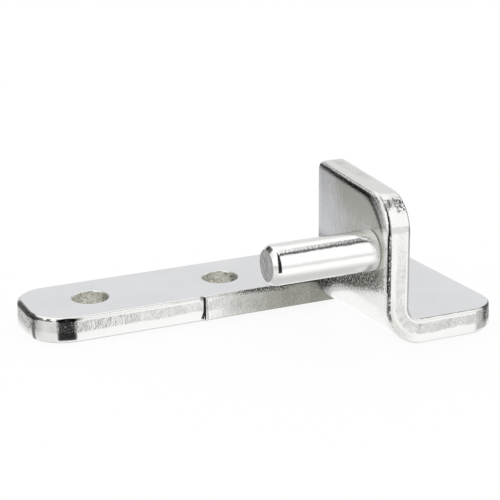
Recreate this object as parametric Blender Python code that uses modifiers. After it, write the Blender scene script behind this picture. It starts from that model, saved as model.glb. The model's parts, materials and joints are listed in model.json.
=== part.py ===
"""Pivot strap hinge: a stamped and bent steel strap that carries a riveted pivot pin.

Metres, +Z up. +X runs from the strap's free end to its foot, +Y from the upright tab to the
strap, and the origin is the middle of the bracket's footprint, on the face that is screwed down.
"""
import math

import bmesh
import bpy
from mathutils import Matrix, Vector

# Plate: the strap, the foot beside it and the tab that is bent up from the foot
PLATE_T = 0.0052
STRAP_LEN = 0.0607          # free end to the tab's front face
STRAP_W = 0.0196
FOOT_LEN = 0.0261           # tab's front face to the foot's furthest reach
FOOT_SLANT = math.radians(3.7)      # how far the foot's end is off square, longest at the tab's side
TAB_W = 0.0295              # from the strap's near edge to the tab's near edge
TAB_H = 0.0310              # underside to the top of the tab, at its edge beside the strap
TAB_DROP = 0.0009           # how much lower the tab's top is at its near edge
BEND_R = 0.0028             # inside radius of the bend
LANCE_GAP = 0.0003          # sheared slit between the tab and the strap

# Rounded corners of the blank
STRAP_END_R = 0.0065
STRAP_NEAR_R = 0.0083       # free end's corner on the tab's side
FOOT_CORNER_R = 0.0060
TAB_NEAR_R = 0.0075
TAB_FAR_R = 0.0015

# Screw holes, on the strap's centre line
HOLE_D = 0.0073
HOLE_FROM_END = 0.0142      # free end to the first hole's centre
HOLE_SPACING = 0.0285
HOLE_COUNT = 2

# Pivot pin, riveted through the tab
PIN_D = 0.0080
PIN_LEN = 0.0223            # tab's front face to the nose
PIN_FROM_EDGE = 0.0061      # tab's near edge to the pin's axis
PIN_Z = 0.0187              # underside to the pin's axis
NOSE_CHAMFER = 0.0009       # how much the nose narrows, all round
NOSE_LEN = 0.0010           # how much of the pin's length it narrows over
SHOULDER = 0.0010           # step from the pin's shank down to its rivet shank
RIVET_OVERHANG = 0.0015     # how far the peened head stands out past the rivet shank
RIVET_HEAD_H = 0.0014
SEAT_GAP = 0.0003           # clearance between the pin and the tab

# Smoothness of the round shapes
ARC_STEPS = 12              # segments in a quarter turn
PIN_STEPS = 48
CUT_MARGIN = 0.0020         # how far a cutter runs past the plate
WELD = 1e-6                 # points closer than this are one point

# Places that follow from the sizes above
X_FREE = -(STRAP_LEN + FOOT_LEN) / 2
X_TAB = X_FREE + STRAP_LEN
X_REACH = X_TAB + FOOT_LEN
Y_NEAR = -(STRAP_W + TAB_W) / 2
Y_STRAP = Y_NEAR + TAB_W
Y_FAR = Y_STRAP + STRAP_W
# the slanted end's corners, before they are rounded
X_END_NEAR = X_REACH + FOOT_CORNER_R * (math.tan(FOOT_SLANT) + 1 / math.cos(FOOT_SLANT) - 1)
X_END_FAR = X_END_NEAR - (Y_FAR - Y_NEAR) * math.tan(FOOT_SLANT)
BEND_OUT_R = BEND_R + PLATE_T
RIVET_D = PIN_D - 2 * SHOULDER
RIVET_HOLE_D = RIVET_D + 2 * SEAT_GAP

ALONG_X = Matrix.Rotation(-math.pi / 2, 4, "Y")     # lays a shape's own Z axis along -X

ZINC_COLOUR = (0.66, 0.67, 0.69, 1.0)
TURNED_COLOUR = (0.72, 0.72, 0.73, 1.0)


def clear_scene():
    for obj in list(bpy.data.objects):
        bpy.data.objects.remove(obj, do_unlink=True)


def new_collection(name):
    collection = bpy.data.collections.new(name)
    bpy.context.scene.collection.children.link(collection)
    return collection


def metal(name, colour, roughness):
    material = bpy.data.materials.new(name)
    material.use_nodes = True
    shader = material.node_tree.nodes["Principled BSDF"]
    shader.inputs["Base Color"].default_value = colour
    shader.inputs["Roughness"].default_value = roughness
    shader.inputs["Metallic"].default_value = 1.0
    return material


def rounded_outline(corners):
    """Points of a closed outline. Each corner is x, y and the radius of its rounding."""
    points = []
    for index, (x, y, radius) in enumerate(corners):
        corner = Vector((x, y))
        if radius == 0:
            points.append(corner)
            continue
        before = corners[index - 1]
        after = corners[(index + 1) % len(corners)]
        back = (Vector(before[:2]) - corner).normalized()
        ahead = (Vector(after[:2]) - corner).normalized()
        half_angle = back.angle(ahead) / 2
        centre = corner + (back + ahead).normalized() * radius / math.sin(half_angle)
        start = corner + back * radius / math.tan(half_angle) - centre
        turn = start.angle_signed(corner + ahead * radius / math.tan(half_angle) - centre)
        steps = max(2, round(ARC_STEPS * abs(turn) / (math.pi / 2)))
        for step in range(steps + 1):
            # angle_signed counts clockwise turns as positive
            points.append(centre + Matrix.Rotation(-turn * step / steps, 2) @ start)
    return points


def cylinder(name, diameter, length, placement, collection):
    mesh = bpy.data.meshes.new(name)
    shape = bmesh.new()
    bmesh.ops.create_cone(shape, cap_ends=True, segments=4 * ARC_STEPS, radius1=diameter / 2,
                          radius2=diameter / 2, depth=length)
    shape.to_mesh(mesh)
    shape.free()
    obj = bpy.data.objects.new(name, mesh)
    collection.objects.link(obj)
    obj.matrix_world = placement
    return obj


def cut(target, cutter):
    cutter.hide_render = True
    cutter.display_type = "WIRE"
    modifier = target.modifiers.new(cutter.name, "BOOLEAN")
    modifier.operation = "DIFFERENCE"
    modifier.object = cutter


def plate_skin():
    """Outer skin of the plate: the flat blank's underside, the bend and the tab's front face."""
    bend_end = X_TAB + BEND_OUT_R
    tab_far = Y_STRAP - LANCE_GAP
    flat_corners = [
        (X_FREE, Y_FAR, STRAP_END_R),
        (X_END_FAR, Y_FAR, STRAP_END_R),
        (X_END_NEAR, Y_NEAR, FOOT_CORNER_R),
        (bend_end, Y_NEAR, 0),
        (bend_end, tab_far, 0),
        (bend_end, Y_STRAP, 0),
        (X_FREE, Y_STRAP, STRAP_NEAR_R),
    ]
    tab_corners = [
        (Y_NEAR, BEND_OUT_R, 0),
        (Y_NEAR, TAB_H - TAB_DROP, TAB_NEAR_R),
        (tab_far, TAB_H, TAB_FAR_R),
        (tab_far, BEND_OUT_R, 0),
    ]
    skin = bmesh.new()
    skin.faces.new([skin.verts.new((x, y, 0)) for x, y in rounded_outline(flat_corners)])
    skin.faces.new([skin.verts.new((X_TAB, y, z)) for y, z in rounded_outline(tab_corners)])

    skin.edges.ensure_lookup_table()
    bend_mid = Vector((bend_end, (Y_NEAR + tab_far) / 2, 0))
    bend_line = min(skin.edges, key=lambda edge: (sum_of_ends(edge) / 2 - bend_mid).length)
    bmesh.ops.spin(skin, geom=[bend_line, *bend_line.verts], cent=(bend_end, 0, BEND_OUT_R),
                   axis=(0, 1, 0), angle=math.pi / 2, steps=ARC_STEPS)
    bmesh.ops.remove_doubles(skin, verts=skin.verts, dist=WELD)
    return skin


def sum_of_ends(edge):
    return edge.verts[0].co + edge.verts[1].co


def make_bracket(parts, cutters):
    """The one-piece plate: strap and foot lie flat, and the tab stands up from its bend."""
    mesh = bpy.data.meshes.new("strap_bracket")
    skin = plate_skin()
    skin.to_mesh(mesh)
    skin.free()
    bracket = bpy.data.objects.new("strap_bracket", mesh)
    parts.objects.link(bracket)
    plate = bracket.modifiers.new("plate", "SOLIDIFY")
    plate.thickness = PLATE_T
    plate.offset = -1
    plate.use_even_offset = True

    cut_length = PLATE_T + 2 * CUT_MARGIN
    for index in range(HOLE_COUNT):
        hole_x = X_FREE + HOLE_FROM_END + index * HOLE_SPACING
        centre = Matrix.Translation((hole_x, (Y_STRAP + Y_FAR) / 2, PLATE_T / 2))
        hole = cylinder(f"screw_hole_{index + 1}", HOLE_D, cut_length, centre, cutters)
        cut(bracket, hole)

    centre = Matrix.Translation((X_TAB + PLATE_T / 2, Y_NEAR + PIN_FROM_EDGE, PIN_Z))
    rivet_hole = cylinder("rivet_hole", RIVET_HOLE_D, cut_length, centre @ ALONG_X, cutters)
    cut(bracket, rivet_hole)
    bracket.data.materials.append(metal("zinc_plate", ZINC_COLOUR, 0.28))


def pin_profile():
    """Radius and height above the tab's front face, down the pin's outer side from nose to head."""
    shank_r = PIN_D / 2
    rivet_r = RIVET_D / 2
    head_r = rivet_r + RIVET_OVERHANG
    head_under = -PLATE_T - SEAT_GAP
    points = [
        (0, PIN_LEN),
        (shank_r - NOSE_CHAMFER, PIN_LEN),
        (shank_r, PIN_LEN - NOSE_LEN),
        (shank_r, SEAT_GAP),
        (rivet_r, SEAT_GAP),
        (rivet_r, head_under),
    ]
    for step in range(ARC_STEPS // 2 + 1):
        angle = step / (ARC_STEPS // 2) * math.pi / 2
        points.append((head_r * math.cos(angle), head_under - RIVET_HEAD_H * math.sin(angle)))
    points[-1] = (0, head_under - RIVET_HEAD_H)
    return points


def make_pin(parts):
    """The turned pin: a shank with a chamfered nose, a rivet shank and its peened head."""
    mesh = bpy.data.meshes.new("pivot_pin")
    shape = bmesh.new()
    verts = [shape.verts.new((radius, 0, height)) for radius, height in pin_profile()]
    for upper, lower in zip(verts, verts[1:]):
        shape.edges.new((upper, lower))
    shape.to_mesh(mesh)
    shape.free()
    pin = bpy.data.objects.new("pivot_pin", mesh)
    parts.objects.link(pin)
    pin.matrix_world = Matrix.Translation((X_TAB, Y_NEAR + PIN_FROM_EDGE, PIN_Z)) @ ALONG_X

    turned = pin.modifiers.new("turned", "SCREW")
    turned.steps = PIN_STEPS
    turned.render_steps = PIN_STEPS
    turned.use_merge_vertices = True
    turned.merge_threshold = WELD
    pin.data.materials.append(metal("turned_steel", TURNED_COLOUR, 0.22))


def main():
    clear_scene()
    parts = new_collection("pivot_strap_hinge")
    cutters = new_collection("cutters")
    make_bracket(parts, cutters)
    make_pin(parts)


main()
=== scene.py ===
import json
import math

import bmesh
import bpy
from mathutils import Matrix, Vector


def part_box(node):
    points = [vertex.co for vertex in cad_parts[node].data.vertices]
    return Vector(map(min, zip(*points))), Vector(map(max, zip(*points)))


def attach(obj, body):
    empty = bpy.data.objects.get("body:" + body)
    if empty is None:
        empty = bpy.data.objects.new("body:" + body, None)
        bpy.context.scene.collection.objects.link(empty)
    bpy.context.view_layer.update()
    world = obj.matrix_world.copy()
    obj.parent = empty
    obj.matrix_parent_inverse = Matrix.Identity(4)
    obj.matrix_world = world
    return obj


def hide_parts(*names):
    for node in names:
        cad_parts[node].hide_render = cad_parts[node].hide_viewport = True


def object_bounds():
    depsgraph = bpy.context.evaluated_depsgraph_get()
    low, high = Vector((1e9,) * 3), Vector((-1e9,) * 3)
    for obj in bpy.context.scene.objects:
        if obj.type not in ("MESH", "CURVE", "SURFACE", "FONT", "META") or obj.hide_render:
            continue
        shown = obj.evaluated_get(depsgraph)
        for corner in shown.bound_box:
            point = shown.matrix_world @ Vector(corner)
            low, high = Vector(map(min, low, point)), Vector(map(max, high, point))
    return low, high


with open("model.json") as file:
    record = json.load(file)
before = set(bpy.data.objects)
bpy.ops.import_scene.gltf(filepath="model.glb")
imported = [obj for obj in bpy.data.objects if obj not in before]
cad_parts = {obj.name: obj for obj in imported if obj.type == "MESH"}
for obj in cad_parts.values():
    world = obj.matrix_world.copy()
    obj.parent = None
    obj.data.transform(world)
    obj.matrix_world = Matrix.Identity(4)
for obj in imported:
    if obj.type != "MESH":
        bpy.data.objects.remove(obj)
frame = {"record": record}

bl_info = {
    "name": "Pivot strap hinge finish",
    "version": (1, 0, 0),
    "blender": (4, 5, 0),
    "location": "View3D > Sidebar > Hinge",
    "description": "Stamped bracket and turned pin of a pivot strap hinge, in bright zinc plating",
    "category": "Object",
}

CAD_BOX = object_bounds()
PLATE_LOW, PLATE_HIGH = (Vector(corner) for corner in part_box("strap_bracket"))
PIN_LOW, PIN_HIGH = (Vector(corner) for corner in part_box("pivot_pin"))
MOUNTS = {mount["name"]: Vector(mount["pos_m"]) for mount in frame["record"]["mounts"]}
MM = 0.001          # metres in a millimetre
WELD = 1e-7         # distance, in metres, within which two points are one


# Sizes and colours that can be changed

def length(name, default, description):
    return bpy.props.FloatProperty(name=name, description=description, default=default, min=0.0,
                                   unit="LENGTH", precision=5)


def colour(name, default, description):
    return bpy.props.FloatVectorProperty(name=name, description=description, default=default, size=3,
                                         min=0.0, max=1.0, subtype="COLOR")


def share(name, default, description):
    return bpy.props.FloatProperty(name=name, description=description, default=default, min=0.0,
                                   max=1.0, subtype="FACTOR")


def degrees(name, default, description):
    return bpy.props.FloatProperty(name=name, description=description, default=math.radians(default),
                                   subtype="ANGLE")


class BracketSizes(bpy.types.PropertyGroup):
    thickness: length("Plate", MOUNTS["inner_screw_seat"].z, "Thickness of the steel plate")
    tab_front: length("Tab front", MOUNTS["pin_nose"].x + 22.3 * MM, "X of the tab's front face")
    tab_width: length("Tab width", 29.5 * MM, "From the strap's near edge to the tab's near edge")
    tab_height: length("Tab height", 30.99 * MM, "Top of the tab, at its edge beside the strap")
    tab_drop: length("Tab drop", 0.9 * MM, "How much lower the tab's top is at its near edge")
    bend_thin: length("Bend thinning", 0.35 * MM, "How much the bend is drawn in at the tab's near edge")
    bend_full: length("Bend fullness", 0.85 * MM, "How much the bend's outside stands out at the slit")
    bend_inside: length("Bend radius", 2.8 * MM, "Inside radius of the bend under the tab")
    slit: length("Slit", 0.1 * MM, "Sheared slit between the tab and the strap")
    end_radius: length("End corners", 6.5 * MM, "Corner radius at the strap's ends")
    end_near_radius: length("End near corner", 8.3 * MM, "Radius of the free end's near corner")
    foot_radius: length("Foot corner", 6.0 * MM, "Corner radius of the foot beside the tab")
    tab_near_radius: length("Tab near corner", 7.5 * MM, "Radius of the tab's corner above the pin")
    tab_far_radius: length("Tab far corner", 1.5 * MM, "Radius of the tab's corner beside the strap")
    foot_slant: degrees("Foot slant", 3.7, "How far the foot's end is off square")
    hole_diameter: length("Screw hole", 7.3 * MM, "Diameter of the screw holes")
    hole_offset: length("Hole offset", 6.55 * MM, "From a screw seat's point back to its hole's axis")
    rivet_hole: length("Rivet hole", 6.6 * MM, "Diameter of the hole that the pin is riveted through")
    upper_round: length("Upper edge", 0.65 * MM, "Rounding along the plate's upper edge")
    roll_tight: length("Die roll", 1.0 * MM, "Radius of the die roll where it leaves the sheared wall")
    roll_middle: length("Die roll middle", 0.5 * MM, "Radius of the die roll between its two ends")
    roll_wide: length("Die roll spread", 2.6 * MM, "Radius of the die roll where it meets the underside")
    break_depth: length("Torn depth", 0.04 * MM, "How far the torn half of a wall is set back")
    lance: length("Lance cut", 25.5 * MM, "From the tab's front back to where the lance cut began")
    notch_bulge: length("Lance bulge", 0.35 * MM, "How far the lance pushed the strap's wall out")


class BracketColours(bpy.types.PropertyGroup):
    zinc: colour("Zinc", (0.86, 0.868, 0.895), "Bright plating on the rolled faces")
    sheared: colour("Sheared wall", (0.83, 0.835, 0.82), "Bright plating on the sheared walls")
    # drawn: duller plating on the tab's front, also used to paint shade on its top and near side
    drawn: colour("Drawn face", (0.58, 0.575, 0.53), "Duller plating on the tab's stretched front face")
    fracture: colour("Fracture", (0.46, 0.46, 0.44), "Plating over the torn half of the walls")
    # recess: thin olive plating, dark enough to paint the recess's shade where it runs into the bend
    recess: colour("Recess", (0.24, 0.236, 0.19), "Thin olive plating in the recess beside the bend")
    bore: colour("Bore", (0.82, 0.81, 0.74), "Thin beige plating inside the screw holes")
    # milky: matt plating on the stretched bend, which also paints the white floor's reflection
    milky: colour("Milky bend", (0.90, 0.90, 0.89), "Matt plating where the bend is stretched most")
    # dark marks: real pits, burrs and blots, and also painted shade and painted dark reflections
    marks_and_shade: colour("Dark marks", (0.08, 0.08, 0.075), "Pits, burrs and marks that the plating left dark")
    roughness: share("Roughness", 0.12, "Roughness of the rolled faces")


class PinSizes(bpy.types.PropertyGroup):
    diameter: length("Diameter", 8.0 * MM, "Diameter of the pin's shank")
    chamfer: length("Nose chamfer", 0.9 * MM, "How much the pin's nose narrows, all round")
    nose_length: length("Nose length", 1.0 * MM, "How much of the pin's length the nose narrows over")
    nose_round: length("Nose edge", 0.25 * MM, "Rounding of the edge round the sawn end")
    neck_round: length("Nose shoulder", 1.5 * MM, "Rounding between the nose and the shank")
    seat_round: length("Seat edge", 0.25 * MM, "Rounding of the shank's edge against the tab")
    rivet_diameter: length("Rivet shank", 6.0 * MM, "Diameter of the pin's rivet shank")


class PinColours(bpy.types.PropertyGroup):
    steel: colour("Turned steel", (0.88, 0.882, 0.87), "Bright plating on the turned pin")
    sawn: colour("Sawn end", (0.52, 0.52, 0.51), "Saw lines across the pin's end")
    # spot: a painted dark reflection on top of the pin's nose
    spot: colour("Nose spot", (0.06, 0.06, 0.055), "Bare spot on top of the pin's nose")
    roughness: share("Roughness", 0.13, "Roughness of the turned shank")


class StageLooks(bpy.types.PropertyGroup):
    floor_size: length("Floor", 4.0, "Side of the floor")
    shadow: share("Shadow", 0.12, "How much of the floor's light comes from the studio")
    aim_back: length("Aim", 15.33 * MM, "From the tab's front back to the point that the camera looks at")
    aim_height: length("Aim height", 13.73 * MM, "Height of the point that the camera looks at")
    distance: length("Camera distance", 0.32496, "From the camera to the point that it looks at")
    azimuth: degrees("Azimuth", -23.71, "Camera's turn about the part")
    elevation: degrees("Elevation", 18.72, "Camera's height above the horizon")
    roll: degrees("Roll", -0.59, "Camera's lean to the side")
    lens: bpy.props.FloatProperty(name="Lens", description="Focal length on a 36 mm wide frame, in mm",
                                  default=115.2)


# Shader maths

def maths(tree, operation, *terms):
    """A Math node on values or numbers."""
    node = tree.nodes.new("ShaderNodeMath")
    node.operation = operation
    for slot, term in zip(node.inputs, terms):
        put(tree, slot, term)
    return Value(tree, node.outputs[0])


class Value:
    """An output socket that adds Math nodes when it is used in an expression."""

    def __init__(self, tree, socket):
        self.tree = tree
        self.socket = socket

    def math(self, operation, *others):
        return maths(self.tree, operation, self, *others)

    def __add__(self, other):
        return self.math("ADD", other)

    __radd__ = __add__

    def __sub__(self, other):
        return self.math("SUBTRACT", other)

    def __rsub__(self, other):
        return maths(self.tree, "SUBTRACT", other, self)

    def __mul__(self, other):
        return self.math("MULTIPLY", other)

    __rmul__ = __mul__

    def __truediv__(self, other):
        return self.math("DIVIDE", other)

    def __abs__(self):
        return self.math("ABSOLUTE")

    def clamp(self):
        return self.math("MAXIMUM", 0.0).math("MINIMUM", 1.0)


def put(tree, slot, value):
    """Links a value to a socket, or sets the socket to a number, colour or vector."""
    if isinstance(value, Value):
        tree.links.new(value.socket, slot)
    elif slot.type == "RGBA" and len(value) == 3:
        slot.default_value = (*value, 1.0)
    else:
        slot.default_value = value


class Shader:
    """Adds nodes to a material's or the world's tree."""

    def __init__(self, tree):
        self.tree = tree
        tree.nodes.clear()

    def node(self, kind, settings=None, inputs=None, output=0):
        node = self.tree.nodes.new("ShaderNode" + kind)
        for name, value in (settings or {}).items():
            setattr(node, name, value)
        for name, value in (inputs or {}).items():
            put(self.tree, node.inputs[name], value)
        return Value(self.tree, node.outputs[output]) if node.outputs else None

    def step(self, value, low, high):
        """0 below low, 1 above high and smooth between them."""
        return self.node("MapRange", {"interpolation_type": "SMOOTHSTEP"},
                         {"Value": value, "From Min": low, "From Max": high})

    def mix(self, factor, first, second):
        """A colour between two colours. The node's colour sockets share their names with others."""
        return self.node("Mix", {"data_type": "RGBA"}, {0: factor, 6: first, 7: second}, output=2)

    def scaled(self, vector, scale):
        return self.node("VectorMath", {"operation": "MULTIPLY"}, {0: vector, 1: scale})

    def noise(self, vector, scale, detail=3.0, roughness=0.5):
        return self.node("TexNoise", {"noise_dimensions": "3D"},
                         {"Vector": vector, "Scale": scale, "Detail": detail, "Roughness": roughness})

    def axes(self, vector):
        split = self.node("SeparateXYZ", None, {"Vector": vector}).socket.node
        return [Value(self.tree, socket) for socket in split.outputs]

    def metal(self, colour, roughness, height, bright):
        """A plated surface, with its relief's height in metres. It mirrors where bright is 1."""
        relief = self.node("Bump", None, {"Height": height, "Distance": 1.0})
        looks = {"Base Color": colour, "Roughness": roughness, "Metallic": bright, "Normal": relief}
        surface = self.node("BsdfPrincipled", None, looks)
        self.node("OutputMaterial", None, {"Surface": surface})


def new_material(name):
    material = bpy.data.materials.new(name)
    material.use_nodes = True
    return material


# Outlines and turned shapes

ROUND_STEPS = 12                # segments in a rounded corner of the blank
TURN_STEPS = 64                 # segments round a turned shape
SMALLEST_RADIUS = 0.2 * MM      # to which a corner may shrink
FACE_WEIGHT = 100               # lets large faces set the normals, so that they look flat


class Edge:
    """How an edge of the blank was sheared, in shares of the plain wall's die roll and upper rounding."""

    def __init__(self, roll, upper, lean=0.0, spread=None):
        self.roll = roll
        self.upper = upper
        self.lean = lean            # how far the torn half leans in at the plate's upper face
        self.spread = roll if spread is None else spread        # share of the die roll's wide end

    def inset(self, inset, height, plate):
        """How far the wall is set in at a height, where the plain profile is set in by an inset."""
        if height <= plate.burnish:
            tight = min(inset, plate.tight_inset)
            return tight * self.roll + (inset - tight) * self.spread
        up_torn_half = (height - plate.burnish) / (plate.sizes.thickness - plate.burnish)
        return inset * self.upper + self.lean * up_torn_half


class Corner:
    """A corner of the blank, and the edges that meet there as they are before and after it."""

    def __init__(self, x, y, radius, before, after, growth=-1.0):
        self.point = Vector((x, y))
        self.radius = radius
        self.before = before
        self.after = after
        self.growth = growth        # how the radius changes with the die roll's inset


def inset_corners(corners, inset, height, plate):
    """Places and radii of an anticlockwise outline's corners at a height of the wall."""
    moved = []
    for index, corner in enumerate(corners):
        before = (corner.point - corners[index - 1].point).normalized()
        after = (corners[(index + 1) % len(corners)].point - corner.point).normalized()
        from_before = corner.before.inset(inset, height, plate)
        from_after = corner.after.inset(inset, height, plate)
        cosine = before.dot(after)
        shift = Vector((-before.y, before.x)) * (from_before - from_after * cosine)
        shift += Vector((-after.y, after.x)) * (from_after - from_before * cosine)
        growth = corner.growth if height <= plate.burnish else -1.0
        radius = max(corner.radius + growth * (from_before + from_after) / 2, SMALLEST_RADIUS)
        moved.append((corner.point + shift / (1 - cosine ** 2), radius if corner.radius else 0))
    return moved


def outline(corners):
    """Points of a closed outline whose corners are rounded, each in the same number of points."""
    points = []
    for index, (corner, radius) in enumerate(corners):
        if not radius:
            points.append(corner)
            continue
        back = (corners[index - 1][0] - corner).normalized()
        ahead = (corners[(index + 1) % len(corners)][0] - corner).normalized()
        half = back.angle(ahead) / 2
        centre = corner + (back + ahead).normalized() * radius / math.sin(half)
        start = corner + back * radius / math.tan(half) - centre
        sweep = math.pi - 2 * half
        for step in range(ROUND_STEPS + 1):
            points.append(centre + Matrix.Rotation(sweep * step / ROUND_STEPS, 2) @ start)
    return points


def quarter(count):
    """Angles of a quarter turn, both ends included."""
    return [math.pi / 2 * step / count for step in range(count + 1)]


def loop_edges(shape, points, height):
    verts = [shape.verts.new((point.x, point.y, height)) for point in points]
    return [shape.edges.new(pair) for pair in zip(verts, verts[1:] + verts[:1])]


def turn(shape, profile, centre, axis):
    """Spins a profile, a list of points, all the way round an axis."""
    verts = [shape.verts.new(point) for point in profile]
    edges = [shape.edges.new(pair) for pair in zip(verts, verts[1:])]
    bmesh.ops.spin(shape, geom=verts + edges, cent=centre, axis=axis, angle=2 * math.pi,
                   steps=TURN_STEPS, use_merge=True)


def finish_piece(shape, name, material, node):
    """Makes a mesh object of the shape, which stands for a CAD node and rides on its body."""
    mesh = bpy.data.meshes.new(name)
    shape.to_mesh(mesh)
    shape.free()
    mesh.shade_smooth()
    piece = bpy.data.objects.new(name, mesh)
    bpy.context.scene.collection.objects.link(piece)
    piece.data.materials.append(material)
    flat = piece.modifiers.new("flat_faces", "WEIGHTED_NORMAL")
    flat.weight = FACE_WEIGHT
    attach(piece, "root")
    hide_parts(node)


# Bracket

UPPER_STEPS = 5                 # segments in a rounded edge of the plate
ROLL_STEPS = 5                  # segments in each arc of a die roll
ROLL_TURNS = [math.radians(turn) for turn in (0, 50, 68, 90)]       # where a die roll's radius changes
BEND_STEPS = 16                 # segments round the bend
BURNISHED = 0.42                # share of a wall's height that is burnished
BREAK_RISE = 0.4 * MM           # height in which a wall steps back from its burnished to its torn half
BREAK_SHARE = 0.9               # share of the step back that it has reached by then
HOLE_UPPER = 0.5                # rounding of a hole's upper rim, as a share of the plate's upper edge
HOLE_LOWER = 0.7                # and of its lower rim

# The lance's mark in the strap's near wall, with stations along it in mm from the notch
NOTCH_STATIONS = (-9.0, -6.5, -4.5, -3.0, -1.8, -0.9, -0.32, -0.15, 0.02, 0.3, 0.5, 0.7, 0.9, 1.4, 2.2, 3.2,
                  4.3, 5.5)
NOTCH_MARKS = {-0.15: -0.09, 0.02: 0.04, 0.3: 0.12, 0.5: 0.10, 0.7: -0.03}      # mm out of the wall
STATION_REACH = 0.02 * MM       # within which a point is at a station
MARK_REACH = 1.3 * MM           # how far into the plate the mark moves it
BULGE_BEFORE = 0.5 * MM         # how far the bulge runs towards the free end
BULGE_AFTER = 5.5 * MM          # and towards the tab
BULGE_FALL = 1.5                # power by which the bulge grows down the wall
MARK_LOW = 0.25                 # share of the mark that is left at the underside


class Plate:
    """Places on the bracket, worked out from its sizes."""

    def __init__(self, sizes):
        self.sizes = sizes
        self.strap_near = PLATE_LOW.y + sizes.tab_width
        self.tab_far = self.strap_near - sizes.slit
        self.bend_out = sizes.bend_inside + sizes.thickness
        self.burnish = sizes.thickness * BURNISHED
        first, second, third = (math.cos(turn) for turn in ROLL_TURNS[:3])
        self.tight_inset = sizes.roll_tight * (first - second) + sizes.roll_middle * (second - third)
        self.bend_line = sizes.tab_front + self.bend_out
        self.notch = sizes.tab_front - sizes.lance
        self.arc = self.bend_out * math.pi / 2
        self.tab_blank = self.arc + sizes.tab_height - self.bend_out
        slant = math.tan(sizes.foot_slant)
        corner = sizes.foot_radius * (slant + 1 / math.cos(sizes.foot_slant) - 1)
        self.end_near = PLATE_HIGH.x + corner
        self.end_far = self.end_near - (PLATE_HIGH.y - PLATE_LOW.y) * slant
        strap_middle = (self.strap_near + PLATE_HIGH.y) / 2
        seats = ("outer_screw_seat", "inner_screw_seat")
        self.holes = [Vector((MOUNTS[seat].x - sizes.hole_offset, strap_middle)) for seat in seats]
        pin = MOUNTS["pin_nose"]
        self.rivet = Vector((self.bend_line - self.arc - (pin.z - self.bend_out), pin.y))

    def blank_corners(self):
        """The flat blank, anticlockwise from above, with the tab still lying beside the strap."""
        sizes = self.sizes
        tab_top = self.bend_line - self.tab_blank
        strap_near = Edge(roll=0.12, upper=0.75)
        slit = Edge(roll=0.2, upper=0.5)
        tab_top_far = Edge(roll=0.75, upper=0.5, lean=0.05 * MM, spread=1.15)
        tab_top_near = Edge(roll=1.4, upper=0.55, lean=0.3 * MM, spread=1.65)
        tab_near = Edge(roll=0.53, upper=0.55, spread=2.2)
        foot_near = Edge(roll=0.12, upper=0.65)
        foot_end = Edge(roll=0.3, upper=0.35, lean=0.18 * MM)
        strap_far = Edge(roll=0.3, upper=0.3)
        free_end = Edge(roll=0.1, upper=1.7)
        return [
            Corner(PLATE_LOW.x, self.strap_near, sizes.end_near_radius, free_end, strap_near),
            Corner(self.bend_line, self.strap_near, 0, strap_near, slit),
            Corner(self.bend_line, self.tab_far, 0, slit, slit),
            Corner(tab_top, self.tab_far, sizes.tab_far_radius, slit, tab_top_far),
            Corner(tab_top + sizes.tab_drop, PLATE_LOW.y, sizes.tab_near_radius, tab_top_near, tab_near,
                   growth=1.0),
            Corner(self.end_near, PLATE_LOW.y, sizes.foot_radius, foot_near, foot_end, growth=5.0),
            Corner(self.end_far, PLATE_HIGH.y, sizes.end_radius, foot_end, strap_far),
            Corner(PLATE_LOW.x, PLATE_HIGH.y, sizes.end_radius, strap_far, free_end),
        ]

    def wall_profile(self):
        """Inset and height of the sheared wall, from the plate's upper face down to its underside."""
        sizes = self.sizes
        upper = sizes.thickness - sizes.upper_round
        profile = [(sizes.break_depth + sizes.upper_round * (1 - math.sin(angle)),
                    upper + sizes.upper_round * math.cos(angle)) for angle in quarter(UPPER_STEPS)]
        profile.append((sizes.break_depth * BREAK_SHARE, self.burnish + BREAK_RISE))
        profile.append((0.0, self.burnish))
        arcs = zip((sizes.roll_tight, sizes.roll_middle, sizes.roll_wide), ROLL_TURNS, ROLL_TURNS[1:])
        roll = [(0.0, 0.0)]
        for radius, start, end in arcs:
            inset, fall = roll[-1]
            for step in range(1, ROLL_STEPS + 1):
                angle = start + (end - start) * step / ROLL_STEPS
                roll.append((inset + radius * (math.cos(start) - math.cos(angle)),
                             fall + radius * (math.sin(angle) - math.sin(start))))
        lowest = roll[-1][1]
        return profile + [(inset, lowest - fall) for inset, fall in roll]

    def hole_profile(self, centre, diameter):
        """The wall of a punched hole with rounded rims, down its side at +X of the centre."""
        sizes = self.sizes
        upper = sizes.upper_round * HOLE_UPPER
        lower = sizes.upper_round * HOLE_LOWER
        points = [(upper * (1 - math.sin(angle)), sizes.thickness - upper * (1 - math.cos(angle)))
                  for angle in quarter(UPPER_STEPS)]
        points += [(lower * (1 - math.cos(angle)), lower * (1 - math.sin(angle)))
                   for angle in quarter(UPPER_STEPS)]
        return [Vector((centre.x + diameter / 2 + out, centre.y, z)) for out, z in points]

    def on_tab(self, point):
        return point.x < self.bend_line and point.y < (self.strap_near + self.tab_far) / 2

    def bend(self, point):
        """Where a point of the tab's blank goes when the tab is bent up."""
        run = self.bend_line - point.x
        angle = min(run / self.arc, 1.0) * math.pi / 2
        outside = 1 - point.z / self.sizes.thickness
        far = (point.y - PLATE_LOW.y) / self.sizes.tab_width
        drawn_in = self.sizes.bend_thin * (1 - far) - self.sizes.bend_full * far
        radius = self.bend_out - point.z - drawn_in * outside * math.sin(2 * angle) ** 2
        rise = max(run - self.arc, 0.0)
        return Vector((self.bend_line - radius * math.sin(angle), point.y,
                       self.bend_out - radius * math.cos(angle) + rise))


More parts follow.
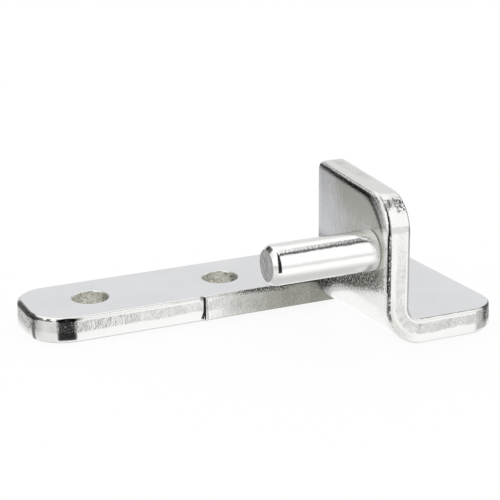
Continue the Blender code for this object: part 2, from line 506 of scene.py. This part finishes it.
def blank_shape(plate):
    """The flat blank with its sheared walls and punched holes, closed all round."""
    shape = bmesh.new()
    corners = plate.blank_corners()
    loops = []
    for inset, height in plate.wall_profile():
        points = outline(inset_corners(corners, inset, height, plate))
        loops.append(loop_edges(shape, points, height))
    for upper, lower in zip(loops, loops[1:]):
        bmesh.ops.bridge_loops(shape, edges=upper + lower)
    for centre in plate.holes:
        turn(shape, plate.hole_profile(centre, plate.sizes.hole_diameter), centre.to_3d(), (0, 0, 1))
    turn(shape, plate.hole_profile(plate.rivet, plate.sizes.rivet_hole), plate.rivet.to_3d(), (0, 0, 1))

    for height in (plate.sizes.thickness, 0.0):
        rim = [edge for edge in shape.edges if edge.is_boundary
               and all(abs(vert.co.z - height) < WELD for vert in edge.verts)]
        bmesh.ops.triangle_fill(shape, edges=rim, use_beauty=True, normal=(0, 0, 1))
    bmesh.ops.remove_doubles(shape, verts=shape.verts, dist=WELD)
    bmesh.ops.recalc_face_normals(shape, faces=shape.faces)
    return shape


def cut_across(shape, x):
    everything = [*shape.verts, *shape.edges, *shape.faces]
    bmesh.ops.bisect_plane(shape, geom=everything, dist=WELD, plane_co=(x, 0, 0), plane_no=(1, 0, 0))


def push_lance_mark(plate, vert):
    """Pushes the strap's wall out where the lance cut began, with a crease and a ridge up the wall."""
    sizes = plate.sizes
    reach = vert.co.y - plate.strap_near
    if not -WELD < reach < MARK_REACH:
        return
    along = vert.co.x - plate.notch
    spread = BULGE_BEFORE if along < 0 else BULGE_AFTER
    swell = max(0.0, 1 - abs(along) / spread) ** 2
    deep = (1 - vert.co.z / sizes.thickness) ** BULGE_FALL
    fade = 1 - reach / MARK_REACH
    mark = sum(out for station, out in NOTCH_MARKS.items() if abs(along - station * MM) < STATION_REACH)
    mark *= MARK_LOW + (1 - MARK_LOW) * vert.co.z / sizes.thickness
    vert.co.y -= (sizes.notch_bulge * swell * deep + mark * MM) * fade


def bracket_shape(sizes):
    """The bent bracket. Each point keeps its place on the flat blank, and whether it lies on a wall."""
    plate = Plate(sizes)
    shape = blank_shape(plate)
    for station in NOTCH_STATIONS:
        cut_across(shape, plate.notch + station * MM)
    for step in range(BEND_STEPS + 1):
        cut_across(shape, plate.bend_line - plate.arc * step / BEND_STEPS)
    blank = shape.verts.layers.float_vector.new("blank")
    wall = shape.verts.layers.float.new("wall")
    skins = (0.0, sizes.thickness)
    for vert in shape.verts:
        vert[blank] = vert.co
        vert[wall] = 0.0 if min(abs(vert.co.z - skin) for skin in skins) < WELD else 1.0
    for vert in shape.verts:
        if plate.on_tab(vert.co):
            vert.co = plate.bend(vert.co)
        else:
            push_lance_mark(plate, vert)
    bmesh.ops.recalc_face_normals(shape, faces=shape.faces)
    return shape


class ZincFinish(Shader):
    """Bright zinc on the bracket: rolled faces, and sheared walls with a torn and a burnished half.

    Its masks run from 0 to 1. They are read on the flat blank, so they follow the plate round the bend.
    """

    def __init__(self, tree, sizes, colours):
        super().__init__(tree)
        self.sizes = sizes
        self.colours = colours
        self.plate = Plate(sizes)
        self.blank = self.node("Attribute", {"attribute_name": "blank"}, output="Vector")
        self.wall = self.node("Attribute", {"attribute_name": "wall"}, output="Fac")
        self.x, self.y, self.z = self.axes(self.blank)
        self.depth = 1 - self.z / sizes.thickness           # 0 on the upper face, 1 on the underside
        self.up = self.plate.bend_line - self.x             # along the tab, from its bend line
        self.nearness = (self.plate.tab_far - self.y) / sizes.tab_width     # 1 at the tab's near edge
        self.grain = self.noise(self.blank, 3000.0, 3.0, 0.6)
        self.sand = self.noise(self.blank, 2100.0, 2.0, 0.7)
        self.lumps = self.noise(self.blank, 900.0, 2.0)
        self.blotches = self.noise(self.blank, 350.0, 2.0)
        self.wave = self.noise(self.blank, 160.0, 2.0)
        self.stain = self.noise(self.blank, 90.0, 3.0)
        self.streaks = self.noise(self.scaled(self.blank, (1, 1, 0.12)), 2400.0, 3.0, 0.6)
        self.lines = self.noise(self.scaled(self.blank, (0.2, 1, 1)), 1300.0, 4.0, 0.7)
        self.find_lanced_wall()
        self.find_sheared_walls()
        self.find_screw_holes()
        self.find_tab()

    def sway(self, noise, size):
        """A noise about zero."""
        return (noise - 0.5) * size

    def along(self, place, start, full):
        """A mask along the plate, which starts and is full at distances in mm from a place on X."""
        return self.step(self.x, place + start * MM, place + full * MM)

    def across(self, place, start, full):
        """A mask across the plate, which starts and is full at distances in mm from a place on Y."""
        return self.step(self.y, place + start * MM, place + full * MM)

    def up_tab(self, start, full):
        return self.step(self.up, start * MM, full * MM)

    def near_on_tab(self, start, full):
        return self.step(self.nearness, start, full)

    def down_wall(self, start, full, ragged=0.0):
        """A mask down the wall, in shares of its height. Its limit can follow the wavy line."""
        depth = self.depth + self.sway(self.wave, ragged) if ragged else self.depth
        return self.step(depth, start, full)

    def find_lanced_wall(self):
        """The strap's wall beside the tab, torn by the lance, and its thin olive plating in the recess,
        darkened towards the bend as painted shade.
        """
        plate = self.plate
        beside = self.wall * self.across(plate.strap_near, 1.2, 0.9)
        beside = beside * self.step(self.y, plate.tab_far, plate.strap_near - 0.02 * MM)
        self.strap_wall = beside * self.along(plate.bend_line, 1, 0)
        self.lanced = self.strap_wall * self.along(plate.notch, 0, 0.3)
        # painted shade: the recess darkens towards the bend, over its thin olive plating
        thinning = self.x + self.sway(self.streaks, 5 * MM)
        self.recess = self.lanced * self.step(thinning, plate.notch - 1 * MM, plate.bend_line - 14 * MM)

    def find_sheared_walls(self):
        """The torn half of the walls, above a wavy line, and where the free end and the foot lie."""
        plate = self.plate
        torn = self.down_wall(0.15, 0.21) * self.down_wall(0.64, 0.54, ragged=0.25)
        lanced = self.lanced * self.along(plate.notch, 1, 6)
        self.torn = self.wall * (torn + lanced).clamp()
        self.free_end = self.along(PLATE_LOW.x, 8, 6)
        self.tab_side = self.step(self.y, plate.strap_near, plate.tab_far)
        self.foot = self.along(plate.bend_line, -4, 0) * self.tab_side

    def find_screw_holes(self):
        """The holes' thin beige plating, and their walls' ends along X, which are darkened as painted
        shade.
        """
        radius = self.sizes.hole_diameter / 2
        level = self.scaled(self.blank, (1, 1, 0))
        bore = 0.0
        sides = 0.0
        for centre in self.plate.holes:
            offset = self.node("VectorMath", {"operation": "DISTANCE"}, {0: level, 1: centre.to_3d()},
                               output="Value")
            bore = bore + self.wall * self.step(offset, radius + 0.25 * MM, radius)
            side = self.wall * self.step(offset, radius + 0.45 * MM, radius + 0.2 * MM)
            # painted shade at both ends of each hole along X
            sides = sides + side * self.step(abs(self.x - centre.x), radius * 0.75, radius * 0.98)
        self.bore = bore.clamp()
        self.bore_side_shade = sides

    def find_tab(self):
        """The tab's stretched front face, sandy under the pin and milky on the bend, and its edges. The
        sand is later darkened as painted shade, and the milky bend's pale matt plating partly stands in for
        a painted reflection of the white floor.
        """
        self.tab = self.tab_side * self.along(self.plate.bend_line, 0, -6)
        self.front = self.tab * self.down_wall(0.985, 0.998)
        milky_up = self.up + self.sway(self.sand, 6 * MM)
        milky_up = milky_up - self.near_on_tab(0.0, 0.35) * 2 * MM - self.nearness * 7 * MM
        # milky bend: matt plating and, in part, a painted reflection of the white floor
        self.milky = self.tab * self.down_wall(0.88, 0.97) * self.step(milky_up, 8.0 * MM, 6.6 * MM)
        self.sandy = self.front * self.up_tab(22, 17) * (1 - self.milky)
        self.tab_wall = self.tab * self.wall
        self.rolled = self.tab_wall * self.down_wall(0.60, 0.72)

    def dullness_and_shade(self):
        """The tab's front is dull in fine lines that run up it. Its top, under the die roll, and its near
        side, towards the pin, are darker still as painted shade.
        """
        # painted shade: darker at the top, under the die roll, and on the near side by the pin
        top = self.up_tab(26, 34) * (0.15 + 0.95 * self.near_on_tab(0.08, 0.36))
        near = (0.4 + 0.55 * self.up_tab(33, 28)) * self.near_on_tab(0.25, 0.62)
        far = 0.15 * self.near_on_tab(0.35, 0.10)
        mottle = self.sway(self.lines, 1.8) + self.sway(self.stain, 1.4)
        mottle = mottle + self.sway(self.sand, 0.9 + 1.3 * self.near_on_tab(0.45, 0.75))
        return self.front * (top + near - far + mottle).clamp()

    def strap_marks_and_shade(self):
        """A burr along the lanced wall, a blot where its cut began and painted shade deep in the recess."""
        notch = self.plate.notch
        burr = self.lanced * self.down_wall(0.0, 0.03) * self.down_wall(0.26, 0.14, ragged=0.3)
        burr = burr * self.along(notch, 6, 9) * self.along(notch, 22, 17)
        burr = burr * self.step(self.grain, 0.46, 0.54)
        blot = self.strap_wall * self.down_wall(0.22, 0.10)
        blot = blot * self.along(notch, -1.1, -0.6) * self.along(notch, 0.1, -0.2)
        # painted shade deep in the recess, next to the bend
        recess_shade = self.recess * self.along(self.plate.bend_line, -10.2, -9.5)
        return burr + 0.65 * blot + 0.12 * recess_shade

    def end_marks_and_reflection(self):
        """A painted dark reflection along the free end's upper edge, blots on the free end, and nicks round
        its near corner.
        """
        end = self.wall * self.along(PLATE_LOW.x, 1.6, 0.9)
        # painted reflection: a dark band along the free end's upper rounding
        edge_reflection = end * self.across(PLATE_HIGH.y, -4.5, -6.5)
        edge_reflection = edge_reflection * self.down_wall(0.0, 0.015) * self.down_wall(0.20, 0.16, ragged=0.12)
        blots = end * self.down_wall(0.75, 0.60) * self.step(self.sand, 0.46, 0.56)
        nicks = self.wall * self.along(PLATE_LOW.x, 10, 8) * self.across(self.plate.strap_near, 6, 5)
        nicks = nicks * self.step(self.lumps, 0.40, 0.48)
        nicks = nicks * self.down_wall(0.03, 0.06) * self.down_wall(0.17, 0.12)
        return 0.95 * edge_reflection + 0.55 * blots + 0.9 * nicks

    def foot_marks_and_reflections(self):
        """A painted dark reflection along the rim of the foot's near edge, and its torn corner, which is
        darkened partly as painted reflection.
        """
        # painted reflection: a dark line along the rim of the near edge
        rim = self.wall * self.across(PLATE_LOW.y, 7, 3) * self.down_wall(0.07, 0.02)
        rim = rim * (0.3 * self.step(self.lumps, 0.35, 0.55) + 0.7 * self.along(PLATE_HIGH.x, -6, -3))
        # the torn tip, its grain darkened partly as a painted reflection
        tip = self.wall * self.across(PLATE_LOW.y, 8, 5) * self.along(PLATE_HIGH.x, -4.4, -3.4)
        tip = tip * self.down_wall(0.70, 0.55)
        tip = tip * (0.5 + 0.55 * self.step(self.sand, 0.46, 0.53) + 0.4 * self.down_wall(0.20, 0.10))
        return rim + 0.95 * tip

    def tab_edge_marks_and_reflections(self):
        """Pits on the tab's near corner, and dark lines painted as reflections: a jagged one, partly
        pitted, in the crease of the roll down its near side, one on the ridge at the top of that side, and
        one in its roll.
        """
        pits = self.tab_wall * self.near_on_tab(0.82, 0.90) * self.down_wall(0.48, 0.38)
        pits = pits * self.up_tab(31.2, 32) * self.up_tab(35.5, 34.5)
        pits = pits * self.step(self.sand, 0.48, 0.52)
        side = self.tab_wall * self.near_on_tab(0.80, 0.86)
        lumpy = self.depth + self.sway(self.lumps, 0.12)
        # painted reflection, partly pitting: a jagged dark line in the crease of the die roll
        crease = side * self.down_wall(0.775, 0.805) * self.step(lumpy, 0.885, 0.855)
        crease = crease * self.up_tab(9, 11) * self.up_tab(36, 35) * (1 - 0.4 * self.up_tab(24, 27))
        crease = crease * self.step(self.sand, 0.36, 0.44)
        # painted reflection: a dark line on the upper edge near the tab's corner
        ridge = side * self.down_wall(0.09, 0.03) * self.up_tab(26, 28)
        return 0.95 * pits + 0.9 * crease + 0.6 * ridge + 0.8 * self.roll_reflection()

    def roll_reflection(self):
        """A painted dark reflection in the die roll along the tab's top, which turns outwards at the near
        corner.
        """
        height = (self.z / self.sizes.thickness).math("MAXIMUM", 0.0).math("SQRT")
        turned = self.near_on_tab(0.68, 0.86)
        ragged = height + self.sway(self.sand, 0.06)
        inner = self.step(ragged, 0.055 - 0.035 * turned, 0.085 - 0.035 * turned)
        outer = self.step(height, 0.170 - 0.060 * turned, 0.150 - 0.060 * turned)
        return self.tab * inner * outer * self.near_on_tab(0.15, 0.55) * self.up_tab(26.5, 29)

    def face_shade_and_specks(self):
        """Sand under the pin, darkened as the pin's painted shadow and darker still towards the tab's far
        edge by the strap, and specks and painted shade at the ends of the screw holes.
        """
        # painted shadow of the pin on the sand, deepest by the strap
        sand = 0.65 * self.step(self.sand, 0.54, 0.47)
        sand = sand + 0.4 * self.near_on_tab(0.35, 0.05) + 0.2 * self.near_on_tab(0.75, 0.40)
        specks = self.bore * self.step(self.sand, 0.52, 0.62)
        return self.sandy * sand + 0.5 * specks + 0.5 * self.bore_side_shade

    def tint(self):
        colours = self.colours
        specks = self.step(self.grain, 0.50, 0.66)
        bare = self.tab * self.near_on_tab(0.4, 0.6) * self.up_tab(23, 27)
        torn = self.torn * (0.10 + 0.35 * specks + 0.3 * self.step(self.blotches, 0.35, 0.65)) * (1 - bare)
        # marks: real pits, burrs, blots and nicks, together with painted shade and painted dark reflections
        marks = self.strap_marks_and_shade() + self.end_marks_and_reflection() + self.foot_marks_and_reflections()
        marks = marks + self.tab_edge_marks_and_reflections() + self.face_shade_and_specks()
        layers = (
            (self.wall, colours.sheared),
            (self.dullness_and_shade(), colours.drawn),
            (torn, colours.fracture),
            (0.55 * self.rolled * self.up_tab(16, 12), colours.drawn),
            (self.recess * (0.75 + 0.25 * specks), colours.recess),
            (self.bore, colours.bore),
            (marks.clamp(), colours.marks_and_shade),
            (self.milky, colours.milky),
        )
        tint = self.mix(self.step(self.stain, 0.35, 0.7) * 0.12, colours.zinc, colours.drawn)
        for mask, layer in layers:
            tint = self.mix(mask, tint, layer)
        return tint

    def roughness(self):
        rough = self.colours.roughness + self.sway(self.stain, 0.04)
        rough = rough + self.torn * 0.04 + self.bore * 0.12 + self.front * 0.06 + self.recess * 0.15
        return rough.clamp()

    def relief(self):
        """Height of the grain, in metres."""
        torn = self.sway(self.grain, 0.030) + self.sway(self.lumps, 0.045)
        torn = self.torn * (1 - 0.7 * self.free_end) * torn
        coarse = self.torn * (0.4 * self.free_end + 2.0 * self.foot)
        sandy = self.sway(self.sand, 0.05 * coarse + 0.07 * self.sandy + 0.05 * self.rolled)
        lanced = self.lanced * (1 - 0.8 * self.recess) * self.sway(self.streaks, 0.05)
        drawn = self.front * self.sway(self.lines, 0.015)
        smooth = self.bore * self.sway(self.grain, 0.03) + self.wall * self.sway(self.lumps, 0.006)
        return (torn + sandy + lanced + drawn + smooth) * MM

    def brightness(self):
        """1 where the plating mirrors, and less where it is milky, thin or flecked."""
        torn = self.free_end * self.step(self.sand, 0.60, 0.68)
        torn = torn + self.foot * self.step(self.sand, 0.57, 0.68)
        edges = self.near_on_tab(0.86, 0.93) + 0.6 * self.near_on_tab(0.07, 0.02) * self.up_tab(20, 23)
        flecks = self.torn * torn + 1.4 * self.sandy * self.step(self.sand, 0.52, 0.58)
        flecks = flecks + 1.2 * self.front * edges
        return 1 - 0.75 * self.milky - 0.4 * self.bore - 0.35 * flecks

    def plate_bracket(self):
        self.metal(self.tint(), self.roughness(), self.relief(), self.brightness())


class HINGE_OT_bracket(bpy.types.Operator):
    """Make the stamped and bent bracket with its sheared edges and zinc plating"""
    bl_idname = "hinge.bracket"
    bl_label = "Strap bracket"

    def execute(self, context):
        sizes = context.scene.hinge_bracket
        shape = bracket_shape(sizes)
        material = new_material("bright_zinc")
        ZincFinish(material.node_tree, sizes, context.scene.hinge_bracket_colours).plate_bracket()
        finish_piece(shape, "bracket", material, "strap_bracket")
        return {"FINISHED"}


# Pin

SEAT = 0.02 * MM                # clearance between the pin and the tab
RIVET_ROUND = 0.1 * MM          # rounding of the corners at the rivet shank


def rounded_run(points, radii):
    """A profile whose inner corners are rounded, each by its own radius."""
    run = [points[0]]
    for before, corner, after, radius in zip(points, points[1:], points[2:], radii):
        back = (before - corner).normalized()
        ahead = (after - corner).normalized()
        half = back.angle(ahead) / 2
        reach = radius / math.tan(half)
        start = corner + back * reach
        end = corner + ahead * reach
        centre = corner + (back + ahead).normalized() * radius / math.sin(half)
        for step in range(UPPER_STEPS + 1):
            run.append(centre + radius * (start - centre).slerp(end - centre, step / UPPER_STEPS))
    run.append(points[-1])
    return run


def pin_shape(sizes):
    """The turned pin, along X, from the middle of its nose to the middle of its peened head."""
    nose = PIN_LOW.x
    head = PIN_HIGH.x
    tab_front = bpy.context.scene.hinge_bracket.tab_front
    tab_back = tab_front + bpy.context.scene.hinge_bracket.thickness
    axis = MOUNTS["pin_nose"]
    shank = sizes.diameter / 2
    rivet = sizes.rivet_diameter / 2
    head_radius = (PIN_HIGH.y - PIN_LOW.y) / 2
    corners = [
        (nose, 0),
        (nose, shank - sizes.chamfer),
        (nose + sizes.nose_length, shank),
        (tab_front - SEAT, shank),
        (tab_front - SEAT, rivet),
        (tab_back + SEAT, rivet),
        (tab_back + SEAT, head_radius),
    ]
    radii = (sizes.nose_round, sizes.neck_round, sizes.seat_round, RIVET_ROUND, RIVET_ROUND)
    profile = rounded_run([Vector(pair) for pair in corners], radii)
    rise = head - tab_back - SEAT
    profile += [Vector((tab_back + SEAT + rise * math.sin(angle), head_radius * math.cos(angle)))
                for angle in quarter(2 * ROLL_STEPS)[1:]]
    shape = bmesh.new()
    turn(shape, [Vector((x, axis.y, axis.z + radius)) for x, radius in profile], axis, (1, 0, 0))
    bmesh.ops.remove_doubles(shape, verts=shape.verts, dist=WELD)
    bmesh.ops.recalc_face_normals(shape, faces=shape.faces)
    return shape


def pin_finish(colours):
    """Bright turned steel with a sawn end, a dark spot painted on its nose as a reflection, and a frosted
    foot at the tab.
    """
    material = new_material("turned_steel")
    shade = Shader(material.node_tree)
    axis = MOUNTS["pin_nose"]
    tab_front = bpy.context.scene.hinge_bracket.tab_front
    place = shade.node("TexCoord", output="Object")
    x, y, z = shade.axes(place)
    grain = shade.noise(shade.scaled(place, (0.15, 1, 1)), 2500.0, 3.0, 0.6)
    specks = shade.noise(place, 2000.0, 2.0)

    sawn = shade.step(x, PIN_LOW.x + 0.10 * MM, PIN_LOW.x + 0.03 * MM)
    across = shade.node("Mapping", None, {"Vector": place, "Rotation": (math.radians(35), 0, 0)})
    saw = shade.noise(shade.scaled(across, (1, 1, 0.12)), 2600.0, 3.0, 0.6)
    # painted reflection: a dark spot on the top of the nose chamfer
    spot = (1 - sawn) * shade.step(x, PIN_LOW.x + 0.95 * MM, PIN_LOW.x + 0.65 * MM)
    spot = spot * shade.step(z, axis.z + 2.5 * MM, axis.z + 2.9 * MM)
    spot = spot * shade.step(y, axis.y - 1.6 * MM, axis.y - 1.2 * MM)
    spot = spot * shade.step(y, axis.y + 1.0 * MM, axis.y + 0.5 * MM)
    frost = shade.step(x, tab_front - 2.4 * MM, tab_front - 0.6 * MM)
    frost = frost * shade.step(x, tab_front + 1.0 * MM, tab_front)

    tint = shade.mix(sawn * shade.step(saw, 0.45, 0.55), colours.steel, colours.sawn)
    tint = shade.mix(spot * 0.9, tint, colours.spot)
    rough = colours.roughness + sawn * 0.18 + (grain - 0.5) * 0.04 + 0.2 * frost
    relief = sawn * saw * 0.04 * MM + (1 - sawn) * (grain * 0.012 + specks * 0.015) * MM
    shade.metal(tint, rough, relief, 1 - 0.6 * frost)
    return material


class HINGE_OT_pin(bpy.types.Operator):
    """Make the turned pivot pin with its chamfered, sawn nose and its peened head"""
    bl_idname = "hinge.pin"
    bl_label = "Pivot pin"

    def execute(self, context):
        shape = pin_shape(context.scene.hinge_pin)
        material = pin_finish(context.scene.hinge_pin_colours)
        finish_piece(shape, "pin", material, "pivot_pin")
        return {"FINISHED"}


# Stage

class Patch:
    """A dark place in the studio round the part, as a window of directions in degrees.

    Azimuth 0 is the studio's front, towards -Y, and 90 is its right, towards +X.
    """

    def __init__(self, azimuth, azimuth_half, elevation, elevation_half, dark, soft=6.0):
        self.azimuth = azimuth
        self.azimuth_half = azimuth_half
        self.elevation = elevation
        self.elevation_half = elevation_half
        self.dark = dark
        self.soft = soft


DARK_PATCHES = (
    Patch(-13.5, 26.5, 28, 58, 0.98),       # unlit room behind the camera
    Patch(-75, 32, -19, 25, 0.20, 12.0),    # wall at the left, less lit than the front
    Patch(-118, 7, -22, 12, 0.80),          # gap behind that wall, down to the floor
    Patch(-127, 9, 17, 13, 0.93),           # the same gap above the table
    Patch(-154, 17, -6.3, 7.7, 0.95),       # wall behind the table's left end
    Patch(-163, 7, 25, 6, 0.90, 4.0),       # lamp arm above that wall
    Patch(-153, 20, -9, 10, 0.34, 10.0),    # side of the table's left end
    Patch(70, 31, -17, 14, 0.52, 18.0),     # gap at the right, below the table's edge
    Patch(50, 60, 60, 4.5, 0.95, 4.0),      # slot in the roof that the lamps hang in
    Patch(0, 120, -2, 8, 0.24, 6.0),        # front edge of the table
)
BRIGHT = 1.15               # light that the metal mirrors from the studio's walls and roof
BACKDROP = 0.82             # from the backdrop behind the part
UNDER = 0.70                # and from below
BACKDROP_BACK = (-0.25, 0.35)       # where the backdrop starts and is full, in directions along Y
BACKDROP_LOW = (-0.45, -0.30)       # and along Z, at its foot
BACKDROP_HIGH = (0.80, 0.60)        # and at its top
UNDER_FALL = (-0.50, -0.88)         # where the light from below starts and is full, along Z
WHITE = (1.0, 1.0, 1.0)
FLOOR_GAP = 0.05 * MM       # clearance under the part
CLIP_START = 0.01           # nearest distance that the camera sees


def window(shade, angle, middle, half, soft):
    """1 inside a window of angles, in degrees, with soft sides."""
    low = middle - half
    high = middle + half
    rise = shade.step(angle, math.radians(low - soft / 2), math.radians(low + soft / 2))
    fall = shade.step(angle, math.radians(high + soft / 2), math.radians(high - soft / 2))
    return rise * fall


def light_studio():
    """A white studio: plain light for the floor and the camera, and dark gaps that the metal mirrors."""
    world = bpy.data.worlds.new("studio")
    bpy.context.scene.world = world
    world.use_nodes = True
    world.cycles.sampling_method = "NONE"
    shade = Shader(world.node_tree)
    x, y, z = shade.axes(shade.node("TexCoord", output="Generated"))
    azimuth = x.math("ARCTAN2", -1 * y)
    elevation = z.math("ARCSINE")
    backdrop = shade.step(y, *BACKDROP_BACK) * shade.step(z, *BACKDROP_LOW) * shade.step(z, *BACKDROP_HIGH)
    under = shade.step(z, *UNDER_FALL)
    light = BRIGHT + (BACKDROP - BRIGHT) * backdrop + (UNDER - BRIGHT) * under
    for patch in DARK_PATCHES:
        inside = window(shade, azimuth, patch.azimuth, patch.azimuth_half, patch.soft)
        inside = inside * window(shade, elevation, patch.elevation, patch.elevation_half, patch.soft)
        light = light * (1 - patch.dark * inside)
    mirrored = shade.node("LightPath", output="Is Glossy Ray")
    strength = 1 + (light - 1) * mirrored
    background = shade.node("Background", None, {"Color": WHITE, "Strength": strength})
    shade.node("OutputWorld", None, {"Surface": background})


def lay_floor(looks):
    shape = bmesh.new()
    bmesh.ops.create_grid(shape, x_segments=1, y_segments=1, size=looks.floor_size / 2)
    mesh = bpy.data.meshes.new("floor")
    shape.to_mesh(mesh)
    shape.free()
    floor = bpy.data.objects.new("floor", mesh)
    bpy.context.scene.collection.objects.link(floor)
    floor.location.z = CAD_BOX[0][2] - FLOOR_GAP
    floor.visible_glossy = False
    material = new_material("white_floor")
    shade = Shader(material.node_tree)
    lit = shade.node("BsdfDiffuse", None, {"Color": WHITE})
    own = shade.node("Emission", None, {"Color": WHITE, "Strength": 1.0})
    surface = shade.node("MixShader", None, {0: looks.shadow, 1: own, 2: lit})
    shade.node("OutputMaterial", None, {"Surface": surface})
    floor.data.materials.append(material)


def place_camera(looks):
    sizes = bpy.context.scene.hinge_bracket
    aim = Vector((sizes.tab_front - looks.aim_back, PLATE_LOW.y + sizes.tab_width, looks.aim_height))
    right = Vector((math.cos(looks.azimuth), math.sin(looks.azimuth), 0))
    level = Vector((right.y, -right.x, 0)) * math.cos(looks.elevation)
    back = level + Vector((0, 0, math.sin(looks.elevation)))
    turned = Matrix((right, back.cross(right), back)).transposed() @ Matrix.Rotation(looks.roll, 3, "Z")
    camera = bpy.data.objects.new("camera", bpy.data.cameras.new("camera"))
    camera.data.lens = looks.lens
    camera.data.clip_start = CLIP_START
    camera.matrix_world = Matrix.Translation(aim + back * looks.distance) @ turned.to_4x4()
    bpy.context.scene.collection.objects.link(camera)
    bpy.context.scene.camera = camera


class HINGE_OT_stage(bpy.types.Operator):
    """Set up the white floor, the studio light and the camera"""
    bl_idname = "hinge.stage"
    bl_label = "Stage"

    def execute(self, context):
        looks = context.scene.hinge_stage
        light_studio()
        lay_floor(looks)
        place_camera(looks)
        context.scene.view_settings.view_transform = "Standard"
        return {"FINISHED"}


class HINGE_PT_parts(bpy.types.Panel):
    bl_label = "Pivot strap hinge"
    bl_idname = "HINGE_PT_parts"
    bl_space_type = "VIEW_3D"
    bl_region_type = "UI"
    bl_category = "Hinge"

    def draw(self, context):
        for operator in OPERATORS:
            self.layout.operator(operator.bl_idname)
        for group in GROUPS:
            settings = getattr(context.scene, group)
            box = self.layout.box()
            for name in settings.__annotations__:
                box.prop(settings, name)


OPERATORS = (HINGE_OT_bracket, HINGE_OT_pin, HINGE_OT_stage)
GROUPS = {
    "hinge_bracket": BracketSizes,
    "hinge_bracket_colours": BracketColours,
    "hinge_pin": PinSizes,
    "hinge_pin_colours": PinColours,
    "hinge_stage": StageLooks,
}
CLASSES = (*GROUPS.values(), *OPERATORS, HINGE_PT_parts)


def register():
    for cls in CLASSES:
        bpy.utils.register_class(cls)
    for name, group in GROUPS.items():
        setattr(bpy.types.Scene, name, bpy.props.PointerProperty(type=group))


def unregister():
    for name in GROUPS:
        delattr(bpy.types.Scene, name)
    for cls in reversed(CLASSES):
        bpy.utils.unregister_class(cls)


def main():
    register()
    bpy.ops.hinge.bracket()
    bpy.ops.hinge.pin()
    bpy.ops.hinge.stage()


if __name__ == "__main__":
    main()
